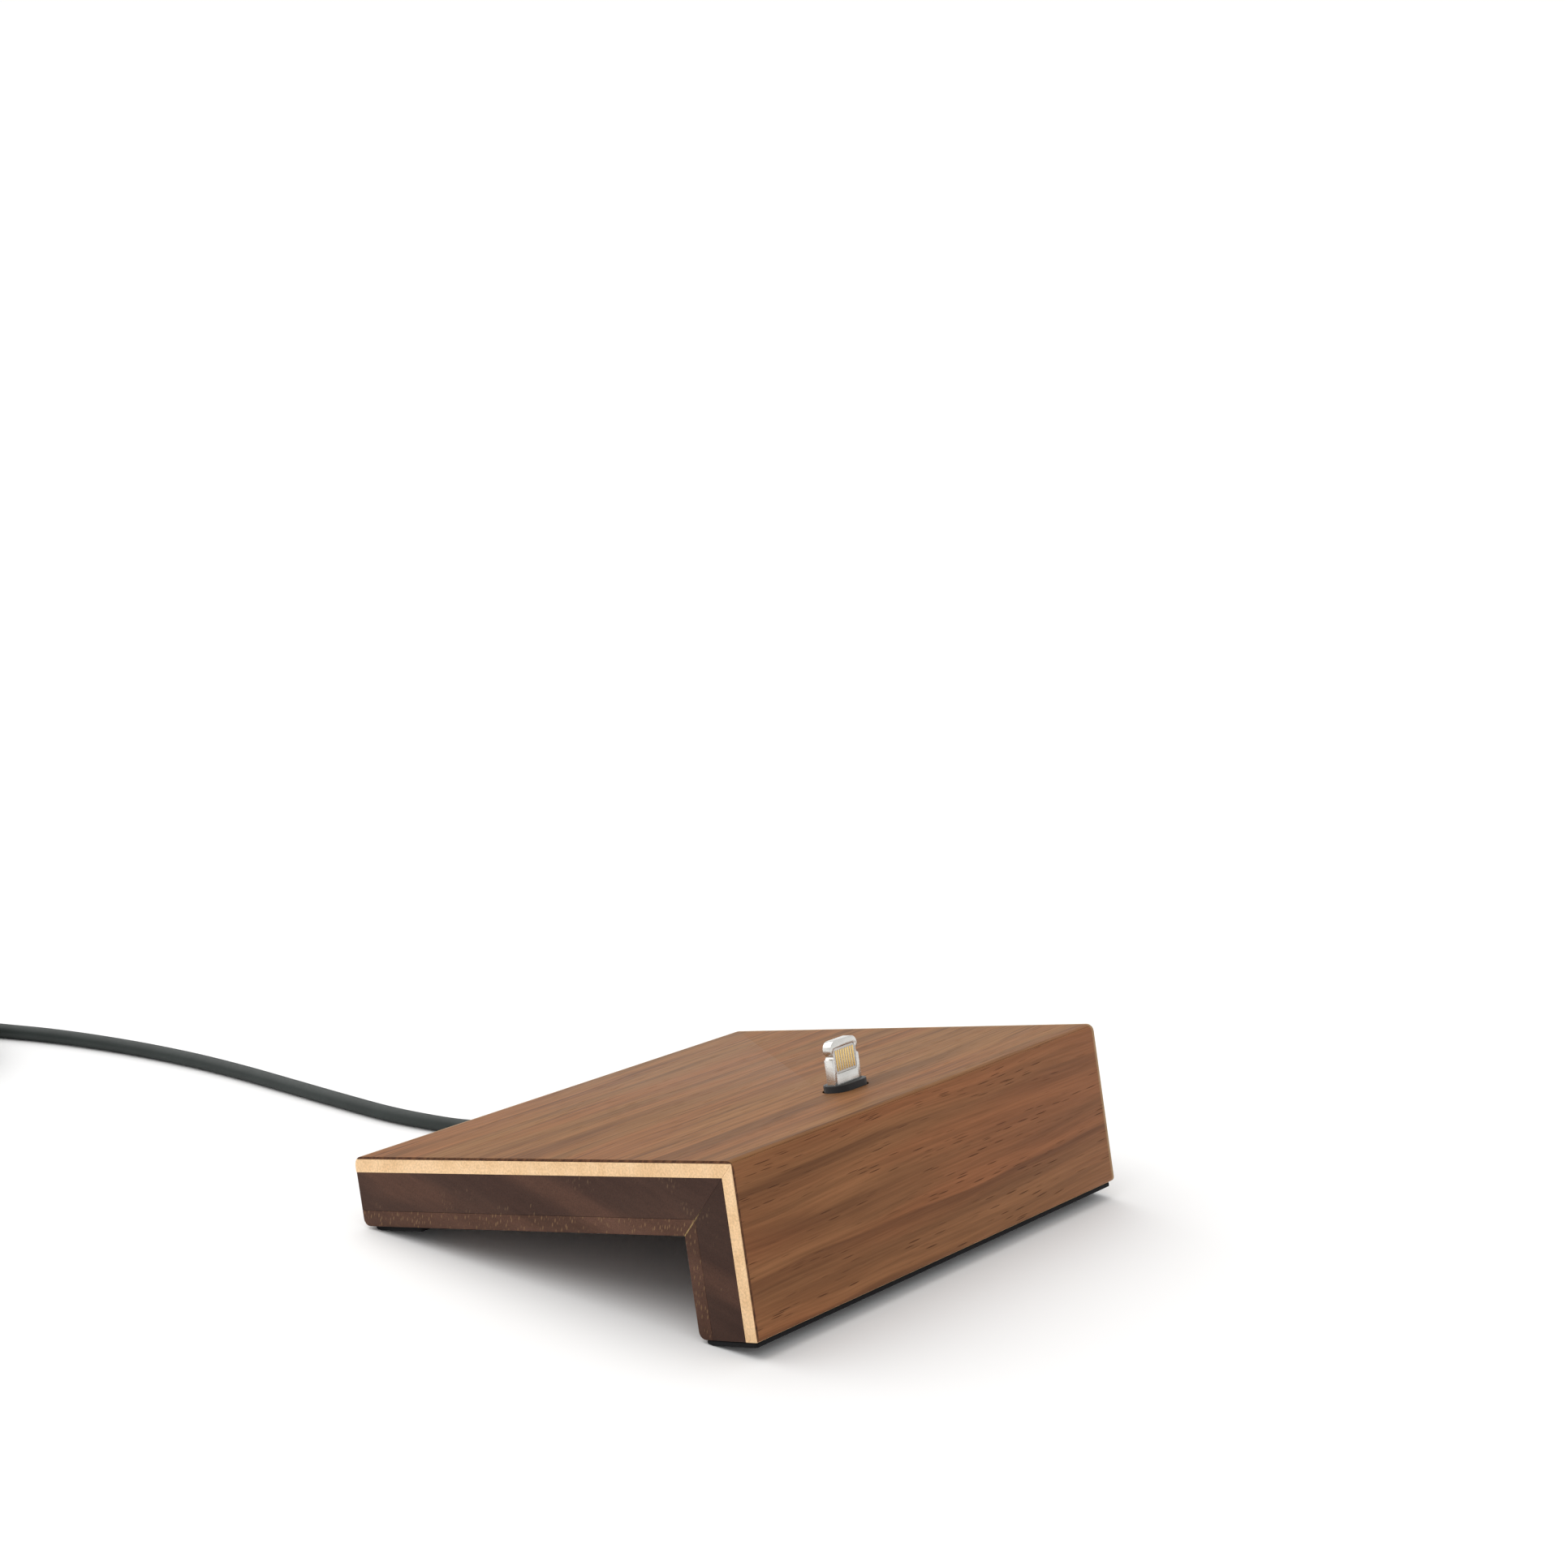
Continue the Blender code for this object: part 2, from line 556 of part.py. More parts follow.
def build_cord(stand):
    """Strain relief, the cord from it to the coil, the coil's ring with its tie, and the far lead."""
    relief_start = HOUSING_REAR + GAP
    relief = relief_profile(RELIEF_LENGTH, RELIEF_RADIUS, RELIEF_TIP)
    relief_place = Matrix.Translation((0, relief_start, CORD_HEIGHT)) @ ALONG_Y
    turned("plug_strain_relief", relief, BLACK_PLASTIC, stand, relief_place)
    cord_start = relief_start + RELIEF_LENGTH + GAP
    inside = [stand.matrix_world @ Vector((0, back, CORD_HEIGHT))
              for back in (cord_start, (cord_start + TOP_LENGTH) / 2, TOP_LENGTH)]
    touch_in, into_coil, clear_in = meeting(COIL_IN, FIRST_PLACE)
    arrival = touch_in - into_coil * clear_in
    arrival.z = CORD_REST
    tube("cord", inside + list(ROUTE_BEHIND) + [arrival], JACKET)

    ring_centre = COIL_LIFT + COIL_SECTION / 2
    section = circle(COIL_SECTION / 2, (COIL_RADIUS, ring_centre), SECTION_STEPS)
    section.reverse()
    ring = turned("cord_coil", section + section[:1], JACKET, None,
                  Matrix.Translation(COIL_CENTRE), COIL_STEPS)
    tie_frame = (Matrix.Translation(COIL_CENTRE) @ Matrix.Rotation(TIE_ANGLE, 4, "Z")
                 @ Matrix.Translation((COIL_RADIUS, 0, 0)))
    tie_inside = COIL_SECTION / 2
    tie_outside = tie_inside + TIE_THICKNESS
    centre = (0, COIL_LIFT + tie_outside)
    band = [circle(radius, centre, TIE_STEPS) for radius in (tie_outside, tie_inside)]
    tie = flat("cord_tie", band, -TIE_WIDTH / 2, TIE_WIDTH / 2, FROM_FRONT, STRAP)
    tie.matrix_local = tie_frame
    half_waist = TIE_WIDTH / 2 + GAP
    around = 3 * tie_outside
    waist = [rectangle(around, around, 0, centre), circle(tie_inside - GAP, centre, TIE_STEPS)]
    waist_cutter = flat("coil_waist", waist, -half_waist, half_waist, FROM_FRONT, None)
    waist_cutter.matrix_local = tie_frame
    boolean(ring, waist_cutter)

    touch_out, out_of_coil, clear_out = meeting(COIL_OUT, LAST_PLACE)
    lead = ((clear_out, 2.5 * MM),) + LEAD_HEIGHTS + ((FAR_LEAD - GAP, FAR_AXIS_HEIGHT),)
    route = [touch_out + out_of_coil * along + Vector((0, 0, height)) for along, height in lead]
    tube("cord_far_lead", route, JACKET)
    heading = math.atan2(out_of_coil.y, out_of_coil.x)
    far_end = touch_out + out_of_coil * FAR_LEAD + Vector((0, 0, FAR_AXIS_HEIGHT))
    return Matrix.Translation(far_end) @ Matrix.Rotation(heading, 4, "Z")


def build_far_plug(frame):
    """Flat four-contact plug at the far end of the cord: X points away from the cord."""
    relief = relief_profile(FAR_RELIEF_LENGTH, RELIEF_TIP, FAR_RELIEF_RADIUS)
    turned("far_strain_relief", relief, BLACK_PLASTIC, frame, ALONG_X)
    length, width, height = FAR_HOUSING
    body_start = FAR_RELIEF_LENGTH + GAP
    upright = Matrix.Rotation(math.radians(90), 4, "Z") @ FROM_FRONT
    housing = flat("far_housing", [rectangle(width, height, FAR_HOUSING_CORNER)], body_start,
                   body_start + length, upright, BLACK_PLASTIC, frame)
    bevel = housing.modifiers.new("easing", "BEVEL")
    bevel.width = HOUSING_EASING
    bevel.segments = 2
    shell_start = body_start + length + GAP
    shell_end = shell_start + SHELL_LENGTH
    inner_width = SHELL_WIDTH - 2 * SHELL_WALL
    inner_height = SHELL_HEIGHT - 2 * SHELL_WALL
    shell = flat("far_shell", [rectangle(SHELL_WIDTH, SHELL_HEIGHT, SHELL_CORNER),
                               rectangle(inner_width, inner_height, SHELL_CORNER - SHELL_WALL)],
                 shell_start, shell_end, upright, NICKEL, frame)
    middle = (shell_start + shell_end) / 2
    for side in (-1, 1):
        low = (middle - WINDOW / 2, side * WINDOW_SPREAD - WINDOW / 2, SHELL_HEIGHT / 4)
        high = (middle + WINDOW / 2, side * WINDOW_SPREAD + WINDOW / 2, SHELL_HEIGHT)
        boolean(shell, box("shell_window", low, high, None, frame))
    carrier_low = -inner_height / 2 + SNUG
    carrier_top = carrier_low + CARRIER_HEIGHT
    carrier_half = inner_width / 2 - SNUG
    box("far_carrier", (shell_start, -carrier_half, carrier_low),
        (shell_end - 2 * GAP, carrier_half, carrier_top), CARRIER, frame)
    for number in range(1, STRIPS + 1):
        across = (number - (STRIPS + 1) / 2) * STRIP_PITCH
        low = (shell_start + GAP, across - STRIP_WIDTH / 2, carrier_top + SNUG)
        high = (shell_end - 3 * GAP, across + STRIP_WIDTH / 2, carrier_top + SNUG + STRIP_THICKNESS)
        box("far_contact_%d" % number, low, high, GOLD, frame)


clear_scene()
pieces = new_collection("phone_stand")
cutters = new_collection("cutters")

# The stand's front-to-back middle is over the origin once it is tipped back
front_reach = LOWER_EASING * (math.cos(TILT) + math.sin(TILT) - 1) - FRONT_HEIGHT * math.sin(TILT)
rear_reach = TOP_LENGTH * math.cos(TILT) - REAR_EASING * (math.cos(TILT) + math.sin(TILT) - 1)
stand_place = Matrix.Translation((0, -(front_reach + rear_reach) / 2, LIFT)) @ Matrix.Rotation(-TILT, 4, "X")
stand_frame = add_frame("stand_frame", stand_place)
bpy.context.view_layer.update()
floor_block = box("floor", (-WIDTH, -TOP_LENGTH, -BOARD), (WIDTH, TOP_LENGTH, 0), None)

board_layers = build_boards(stand_frame)
cut_boards(board_layers, stand_frame)
build_cover(board_layers, stand_frame)
build_feet(stand_frame, floor_block)
build_plug(stand_frame)
far_frame = add_frame("far_plug_frame", build_cord(stand_frame))
build_far_plug(far_frame)
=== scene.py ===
"""Looks of the phone stand: oiled walnut and maple, the plug in its top, rubber feet and the cord."""
import json
import math

import bmesh
import bpy
from mathutils import Matrix, Vector


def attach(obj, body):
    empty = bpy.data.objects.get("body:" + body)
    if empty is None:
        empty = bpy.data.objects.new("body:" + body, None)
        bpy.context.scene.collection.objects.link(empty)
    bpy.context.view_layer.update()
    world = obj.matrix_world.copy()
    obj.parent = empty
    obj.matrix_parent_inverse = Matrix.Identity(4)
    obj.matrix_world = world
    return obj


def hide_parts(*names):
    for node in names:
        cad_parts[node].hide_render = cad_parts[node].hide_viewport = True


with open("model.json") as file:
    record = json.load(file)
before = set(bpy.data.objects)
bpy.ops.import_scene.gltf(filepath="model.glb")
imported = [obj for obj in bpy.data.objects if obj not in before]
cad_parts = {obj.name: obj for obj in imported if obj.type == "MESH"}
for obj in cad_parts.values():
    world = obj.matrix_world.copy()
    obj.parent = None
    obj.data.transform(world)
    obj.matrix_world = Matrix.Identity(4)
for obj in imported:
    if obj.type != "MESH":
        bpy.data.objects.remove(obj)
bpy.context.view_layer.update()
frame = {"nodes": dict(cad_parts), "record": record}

MM = 0.001
BODY = "root"

# The board frame: its origin is the middle of the edge between the top face and the front face,
# X runs to the right, Y back along the top face and Z up from that face.
seat = next(mount for mount in frame["record"]["mounts"] if mount["name"] == "phone_seat")
SEAT_IN_BOARD = Vector((22 * MM, 15.4 * MM, 0))
TILT = math.atan2(seat["axis"][1], seat["axis"][2])
TILTING = Matrix.Rotation(-TILT, 4, "X")
BOARD_ORIGIN = Vector(seat["pos_m"]) - TILTING @ SEAT_IN_BOARD
BOARD_FRAME = Matrix.Translation(BOARD_ORIGIN) @ TILTING
TO_BOARD = BOARD_FRAME.inverted()
WIDTH = 93 * MM
TOP_LENGTH = 76 * MM
FRONT_HEIGHT = 26 * MM
BOARD = 11 * MM

# How the look of a CAD node is made from its mesh
WELD = 0.002 * MM
FLAT_ENOUGH = math.radians(0.5)
SHARP_ENOUGH = math.radians(25)
SMOOTH_UP_TO = math.radians(32)
EDGE_BREAK = 0.2 * MM
VENEER_BREAK = 0.1 * MM
MOULDED_BREAK = 0.15 * MM
TONGUE_BREAK = 0.1 * MM
BREAK_SEGMENTS = 2

# A layer's face is on a glue line if the point PROBE off it is still inside the boards, or if it lies
# on the mitre, where the Y and Z of its normal add up to more than MITRE_FACING either way.
PROBE = 0.9 * MM
MITRE_FACING = 1.4

# Cord
CORD = 2.6 * MM
CORD_REST = CORD / 2 + 0.02 * MM
CORD_DEPTH = 6.15 * MM
CORD_START = 38.1 * MM
CORD_MIDDLE = 57 * MM
LAST_STRAIGHT = 6 * MM
ROUTE_STEP = 1 * MM
SPAN_PIECES = 24

# Row-frame points of the cord from just behind the top board to just before the coil
ROUTE_BEHIND = (
    (-0.4 * MM, 45 * MM, 3.4 * MM),
    (-1.8 * MM, 51.6 * MM, 1.95 * MM),
    (-3.8 * MM, 57.4 * MM, CORD_REST),
    (-5.9 * MM, 63.4 * MM, CORD_REST),
    (-7.5 * MM, 71.4 * MM, CORD_REST),
    (-8.2 * MM, 82.4 * MM, CORD_REST),
    (-8.6 * MM, 93.4 * MM, CORD_REST),
    (-9.1 * MM, 105.4 * MM, CORD_REST),
    (-10.2 * MM, 116.4 * MM, CORD_REST),
    (-12.3 * MM, 127.4 * MM, CORD_REST),
    (-15.1 * MM, 137.4 * MM, CORD_REST),
    (-18.5 * MM, 146.5 * MM, CORD_REST),
    (-22.8 * MM, 155.2 * MM, CORD_REST),
)

# Coil and the strap round it
COIL_CENTRE = Vector((-47.5 * MM, 161 * MM, 0))
COIL_RADIUS = 15.3 * MM
COIL_IN = math.radians(35.6)
COIL_OUT = math.radians(141.5)
COIL_TURNS = 7
COIL_STEP = math.radians(6)
COIL_WAVE = 0.03

# Across the coil the turns lie in a ring, side by side; angles there count from its outer side upwards
COIL_PLACES = 8
BUNDLE_RADIUS = CORD / 2 / math.sin(math.pi / COIL_PLACES)
FIRST_PLACE = math.radians(-60)
BUNDLE_HEIGHT = CORD_REST + BUNDLE_RADIUS
TIE_ANGLE = math.radians(250)
TIE_LIFT = 0.85 * MM
TIE_REACH = 0.55
TIE_WIDTH = 5 * MM
TIE_THICKNESS = 0.7 * MM
TIE_CLEARANCE = 0.08 * MM
TIE_START = math.radians(-15)
TIE_WRAP = math.radians(425)
TIE_STEPS = 68
TIE_RAMP = 0.5
TIE_OVERLAP = 1.05 * TIE_THICKNESS

# Corners of the strap's section: shares of its thickness outwards and of half its width sideways
TIE_SECTION = ((0, 0.9), (0.15, 1), (0.85, 1), (1, 0.9), (1, -0.9), (0.85, -1), (0.15, -1), (0, -0.9))

# Free end of the cord: how far on from the coil and how high, until it is inside the far strain relief
FAR_LEAD = (
    (5 * MM, 2.75 * MM),
    (10.8 * MM, 2.5 * MM),
    (14 * MM, 2.6 * MM),
    (18 * MM, 3.1 * MM),
    (21 * MM, 3.7 * MM),
    (24.6 * MM, 4.05 * MM),
)

# Camera, floor and light
CAMERA_PLACE = (-0.37311, -0.28982, 0.17234)
CAMERA_TURN = tuple(math.radians(angle) for angle in (77.791, -2.135, -52.167))
CAMERA_LENS = 72.19
CAMERA_SENSOR = 36
CAMERA_NEAREST = 0.01
FLOOR_SIZE = 6
FLOOR_GREYS = ((0.86, 0.86, 0.865), (0.88, 0.88, 0.88))
WINDOW_TOWARDS = (-0.16, 0.64, 0.9)
WINDOW_SPREAD = math.radians(84)
WINDOW_STRENGTH = 2.18
WINDOW_COLOUR = (1, 0.99, 0.97)

# The room's brightness goes from To Min to To Max as a direction's height goes from From Min to From Max
ROOM_BRIGHTNESS = {"From Min": 0.08, "From Max": 0.35, "To Min": 1.03, "To Max": 0.72}

# Colours of the materials, linear
WALNUT_BROWN = (0.252, 0.112, 0.048)
WALNUT_RED = (0.264, 0.103, 0.043)
WALNUT_LATE = (0.105, 0.043, 0.020)
WALNUT_LINE = (0.080, 0.035, 0.018)
WALNUT_PORE = (0.055, 0.022, 0.011)
# Paler sanded wood together with a painted highlight, for the eased right and rear edges of the veneer
WALNUT_WORN_AND_HIGHLIT = (0.44, 0.32, 0.18)
WALNUT_END = (0.135, 0.058, 0.027)
WALNUT_END_TORN = (0.060, 0.025, 0.013)
# Painted shade: the veneer's top face is multiplied by this, so it is darker and less red than the front
# face
TOP_PAINTED_SHADE = (0.886, 0.955, 0.845)
MAPLE = ((0.32, (0.730, 0.478, 0.258)), (0.52, (0.790, 0.533, 0.300)), (0.72, (0.825, 0.572, 0.338)))
GLUE = (0.42, 0.29, 0.12)
CORE = ((0.38, (0.049, 0.023, 0.016)), (0.56, (0.059, 0.029, 0.020)), (0.70, (0.086, 0.040, 0.026)))
CORE_PORE = (0.15, 0.09, 0.05)
BACKING = ((0.38, (0.068, 0.031, 0.019)), (0.56, (0.087, 0.040, 0.025)), (0.70, (0.112, 0.053, 0.034)))
BACKING_PORE = (0.225, 0.130, 0.064)
JACKET = (0.0225, 0.0285, 0.0265)
PLASTIC_BLACK = (0.009, 0.009, 0.010)
RUBBER_BLACK = (0.007, 0.007, 0.008)
CARRIER_WHITE = (0.78, 0.78, 0.76)
NICKEL = (0.70, 0.69, 0.66)
GOLD = (0.86, 0.62, 0.25)
ZINC = (0.22, 0.22, 0.23)
# The strap's own colour at the middle of each loop, with painted shade darkening it towards the hollows
# between loops
STRAP_AND_HOLLOW_SHADE = ((0.0, (0.045, 0.047, 0.050)), (0.8, (0.014, 0.015, 0.016)))

# Sockets of a Mix node that hold its two colours and its result
MIX_A = 6
MIX_B = 7
MIX_RESULT = 2


# ---------------------------------------------------------------- shaders

class Recipe:
    """A procedural material: every method adds a node and returns the socket that it ends in."""

    def __init__(self, name):
        self.material = bpy.data.materials.new(name)
        self.material.use_nodes = True
        self.tree = self.material.node_tree
        self.shader = self.tree.nodes["Principled BSDF"]

    def add(self, kind, inputs, output=0, **settings):
        node = self.tree.nodes.new("ShaderNode" + kind)
        for key, value in settings.items():
            setattr(node, key, value)
        for key, value in inputs.items():
            if isinstance(value, bpy.types.NodeSocket):
                self.tree.links.new(value, node.inputs[key])
            else:
                node.inputs[key].default_value = value
        return node.outputs[output]

    def number(self, operation, a, b=0.0):
        return self.add("Math", {0: a, 1: b}, operation=operation)

    def times(self, a, b):
        return self.number("MULTIPLY", a, b)

    def distance(self, value, place):
        """How far the value is from a place, to either side."""
        return self.number("ABSOLUTE", self.number("SUBTRACT", value, place))

    def stretch(self, vector, scale, offset=(0, 0, 0)):
        scaled = self.add("VectorMath", {0: vector, 1: scale}, operation="MULTIPLY")
        return self.add("VectorMath", {0: scaled, 1: offset}, operation="ADD")

    def noise(self, vector, detail=2.0, roughness=0.5):
        """Soft noise, whose pattern has about one feature to a unit of the given place."""
        return self.add("TexNoise", {"Vector": vector, "Scale": 1.0, "Detail": detail,
                                     "Roughness": roughness})

    def cells(self, vector):
        """Distance to the middle of the nearest of many scattered cells."""
        return self.add("TexVoronoi", {"Vector": vector, "Scale": 1.0})

    def fade(self, value, start, end, low=0.0, high=1.0):
        """The value's place between start and end, smoothly, as a number from low to high."""
        return self.add("MapRange", {"Value": value, "From Min": start, "From Max": end,
                                     "To Min": low, "To Max": high}, interpolation_type="SMOOTHSTEP")

    def ramp(self, value, stops):
        node = self.tree.nodes.new("ShaderNodeValToRGB")
        elements = node.color_ramp.elements
        while len(elements) < len(stops):
            elements.new(0.5)
        for element, (place, colour) in zip(elements, stops):
            element.position = place
            element.color = (*colour, 1)
        self.tree.links.new(value, node.inputs[0])
        return node.outputs[0]

    def mix(self, share, a, b, blend="MIX"):
        a = (*a, 1) if isinstance(a, tuple) else a
        b = (*b, 1) if isinstance(b, tuple) else b
        return self.add("Mix", {0: share, MIX_A: a, MIX_B: b}, MIX_RESULT, data_type="RGBA",
                        blend_type=blend)

    def tinted(self, colour, amount):
        """The colour made lighter or darker by an amount around 1."""
        return self.add("VectorMath", {0: colour, 3: amount}, operation="SCALE")

    def finish(self, colour, roughness, height=None, depth=0, strength=0, **sockets):
        """The finished material, with bumps from a height where one is given."""
        links = {"Base Color": colour}
        if isinstance(roughness, bpy.types.NodeSocket):
            links["Roughness"] = roughness
        else:
            sockets["Roughness"] = roughness
        if height is not None:
            bumps = {"Height": height, "Distance": depth, "Strength": strength}
            links["Normal"] = self.add("Bump", bumps)
        for name, value in links.items():
            self.tree.links.new(value, self.shader.inputs[name])
        for name, value in sockets.items():
            self.shader.inputs[name.replace("_", " ")].default_value = value
        return self.material


def board_space(recipe):
    """Board-frame place of the shaded point in millimetres."""
    board = {"Location": BOARD_ORIGIN, "Rotation": (-TILT, 0, 0), "Scale": (MM, MM, MM)}
    place = recipe.add("TexCoord", {}, "Object")
    return recipe.add("Mapping", {"Vector": place, **board}, vector_type="TEXTURE")


def row_space(recipe):
    """Row-frame place of the shaded point in millimetres."""
    return recipe.stretch(recipe.add("TexCoord", {}, "Object"), (1 / MM, 1 / MM, 1 / MM))


def split(recipe, vector):
    node = recipe.tree.nodes.new("ShaderNodeSeparateXYZ")
    recipe.tree.links.new(vector, node.inputs[0])
    return node.outputs[0], node.outputs[1], node.outputs[2]


def on_side(recipe):
    """1 where the surface faces left or right, which is across the grain, and 0 elsewhere."""
    x = split(recipe, recipe.add("NewGeometry", {}, "Normal"))[0]
    return recipe.fade(recipe.number("ABSOLUTE", x), 0.55, 0.85)


def walnut_face():
    """Oiled walnut veneer: growth lines that darken and end sharply, fibres, and open pores along them.

    The grain runs left to right. Across it, the front face and the top face are one unfolded sheet.
    """
    recipe = Recipe("walnut_face")
    x, back, up = split(recipe, board_space(recipe))
    across = recipe.number("ADD", back, up)
    on_top = recipe.fade(across, -0.4, 0.4)
    flat_place = recipe.add("CombineXYZ", {0: x, 1: across})
    wander = recipe.noise(recipe.stretch(flat_place, (0.011, 0.045, 1), (7, 2, 0)), 2)
    across = recipe.number("ADD", across, recipe.times(wander, 7))
    grain = recipe.add("CombineXYZ", {0: x, 1: across})

    def along_grain(length, width, offset, *look):
        """Noise in streaks: how fast it changes along and across the grain, and where it starts."""
        return recipe.noise(recipe.stretch(grain, (length, width, 1), offset), *look)

    growth = along_grain(0.007, 0.11, (0, 0, 3), 3, 0.55)
    phase = recipe.number("ADD", recipe.times(across, 0.15), recipe.times(growth, 2.2))
    ring = recipe.number("FRACT", phase)
    late = recipe.times(recipe.number("POWER", ring, 2.0), recipe.fade(ring, 1.0, 0.90))
    strength = recipe.fade(along_grain(0.012, 0.09, (3, 0, 8), 2), 0.36, 0.62, 0.15)
    late = recipe.times(late, strength)
    threads = along_grain(0.022, 1.25, (4, 0, 2), 3, 0.6)
    fibre = along_grain(0.11, 3.8, (0, 0, 5), 3, 0.6)
    hue = along_grain(0.012, 0.13, (1, 4, 0), 2)

    colour = recipe.mix(recipe.fade(hue, 0.38, 0.62), WALNUT_BROWN, WALNUT_RED)
    colour = recipe.mix(recipe.times(late, 0.78), colour, WALNUT_LATE)
    dark_patch = recipe.times(recipe.fade(recipe.distance(across, -4), 6, 2), recipe.fade(x, -18, -44))
    colour = recipe.mix(recipe.times(dark_patch, 0.3), colour, WALNUT_LATE)
    # Painted shade: the one veneer sheet is made 2 % lighter on the front face, and darker and less red
    # on the top face, for the different light on the two faces
    colour = recipe.mix(on_top, recipe.tinted(colour, 1.02), TOP_PAINTED_SHADE, "MULTIPLY")
    colour = recipe.tinted(colour, recipe.fade(threads, 0.30, 0.68, 1.12, 0.83))
    colour = recipe.tinted(colour, recipe.fade(fibre, 0.26, 0.74, 1.08, 0.90))
    line = recipe.fade(along_grain(0.035, 1.6, (2, 0, 9), 1, 0.3), 0.60, 0.70)
    colour = recipe.mix(recipe.times(recipe.times(line, on_top), 0.6), colour, WALNUT_LINE)

    dash = recipe.cells(recipe.stretch(grain, (0.14, 2.8, 1), (9, 0, 1)))
    crowd = recipe.fade(along_grain(0.03, 0.35, (5, 5, 0), 2), 0.42, 0.58)
    pore = recipe.times(recipe.fade(dash, 0.26, 0.14), crowd)
    depth = recipe.add("MapRange", {"Value": on_top, "To Min": 0.78, "To Max": 0.38})
    colour = recipe.mix(recipe.times(pore, depth), colour, WALNUT_PORE)

    # Paler sanded wood and a painted highlight along the eased right and rear edges, where light catches
    # the rounding
    right_edge = WIDTH / 2 / MM
    rear_edge = TOP_LENGTH / MM
    worn_and_highlit = recipe.number("MAXIMUM", recipe.fade(x, right_edge - 0.8, right_edge - 0.2),
                         recipe.fade(back, rear_edge - 2.1, rear_edge - 1.1))
    colour = recipe.mix(recipe.times(worn_and_highlit, 0.6), colour, WALNUT_WORN_AND_HIGHLIT)
    torn = recipe.noise(recipe.stretch(flat_place, (0, 0.9, 1), (0, 6, 0)), 3, 0.7)
    end_colour = recipe.mix(recipe.fade(torn, 0.36, 0.60), WALNUT_END, WALNUT_END_TORN)
    colour = recipe.mix(on_side(recipe), colour, end_colour)

    height = recipe.number("SUBTRACT", recipe.times(fibre, -0.4), pore)
    rough = recipe.number("ADD", recipe.fade(fibre, 0.2, 0.8, 0.50, 0.60), recipe.times(pore, 0.2))
    return recipe.finish(colour, rough, height, 0.03 * MM, 0.6, Specular_IOR_Level=0.09)


def maple():
    """Pale maple: close, even grain with a faint mottle and small darker flecks."""
    recipe = Recipe("maple")
    place = board_space(recipe)
    mottle = recipe.noise(recipe.stretch(place, (0.05, 0.35, 0.35), (2, 0, 0)), 3, 0.6)
    fleck = recipe.noise(recipe.stretch(place, (0.3, 2.9, 2.9), (0, 5, 0)), 3, 0.65)
    colour = recipe.tinted(recipe.ramp(mottle, MAPLE), recipe.fade(fleck, 0.32, 0.68, 1.12, 0.87))
    return recipe.finish(colour, 0.55, fleck, 0.02 * MM, 0.35, Specular_IOR_Level=0.2)


def glue_line(recipe, back, up, colour):
    """Pale glue squeezed out along the mitre, strongest at the boards' inner corner."""
    off_mitre = recipe.number("ABSOLUTE", recipe.number("ADD", back, up))
    near = recipe.times(recipe.fade(off_mitre, 0.16, 0.07), recipe.fade(back, 6.8, 9.6, 0.0, 0.85))
    patch = recipe.noise(recipe.add("CombineXYZ", {0: recipe.times(back, 2.2)}), 2)
    near = recipe.times(near, recipe.fade(patch, 0.36, 0.5))
    return recipe.mix(near, colour, GLUE)


def end_grain_wood(name, bands, pale_pore, pale_places):
    """Dark walnut cut across the grain: slanting growth bands, fine dark pores and filled pale ones."""
    recipe = Recipe(name)
    place = board_space(recipe)
    x, back, up = split(recipe, place)
    darkest = bands[0][1]
    reddest = bands[-1][1]
    slant = math.radians(-66)
    lean = recipe.number("ADD", recipe.times(back, math.cos(slant)), recipe.times(up, math.sin(slant)))
    along = recipe.number("SUBTRACT", recipe.times(up, math.cos(slant)),
                          recipe.times(back, math.sin(slant)))
    rings = recipe.add("CombineXYZ", {0: lean, 1: along, 2: recipe.times(x, 0.03)})
    band = recipe.noise(recipe.stretch(rings, (0.16, 0.04, 1), (5.3, 1.7, 0)), 2, 0.45)
    streak = recipe.noise(recipe.stretch(rings, (1.1, 0.12, 1), (0, 7, 0)), 3, 0.6)
    grit = recipe.noise(recipe.stretch(place, (0.4, 4.5, 4.5), (3, 1, 0)), 3, 0.7)
    colour = recipe.ramp(band, bands)
    colour = recipe.mix(recipe.fade(recipe.distance(lean, 18.6), 3.2, 0.4), colour, reddest)
    colour = recipe.tinted(colour, recipe.fade(streak, 0.30, 0.72, 0.93, 1.09))
    colour = recipe.tinted(colour, recipe.fade(grit, 0.30, 0.70, 1.10, 0.88))

    leaning = recipe.number("ADD", back, recipe.times(up, 0.3))
    open_grain = recipe.add("CombineXYZ", {0: leaning, 1: up, 2: x})
    dash = recipe.cells(recipe.stretch(open_grain, (2.3, 0.8, 0.14)))
    crowd = recipe.noise(recipe.stretch(place, (0.1, 0.22, 0.3), (6, 0, 0)), 1)
    pale = recipe.times(recipe.fade(dash, 0.36, 0.12), recipe.fade(crowd, *pale_places))
    colour = recipe.mix(recipe.times(pale, 0.68), colour, pale_pore)
    speck = recipe.noise(recipe.stretch(place, (0.3, 5.6, 5.6), (3, 0, 0)), 1, 0.4)
    pore = recipe.fade(speck, 0.60, 0.70)
    colour = recipe.mix(recipe.times(pore, 0.45), colour, tuple(0.4 * part for part in darkest))
    colour = recipe.tinted(colour, recipe.fade(recipe.number("ADD", back, up), -0.1, 0.1, 0.84, 1.0))
    colour = glue_line(recipe, back, up, colour)
    height = recipe.number("SUBTRACT", recipe.times(grit, -0.4), pore)
    return recipe.finish(colour, 0.6, height, 0.03 * MM, 0.45, Specular_IOR_Level=0.15)


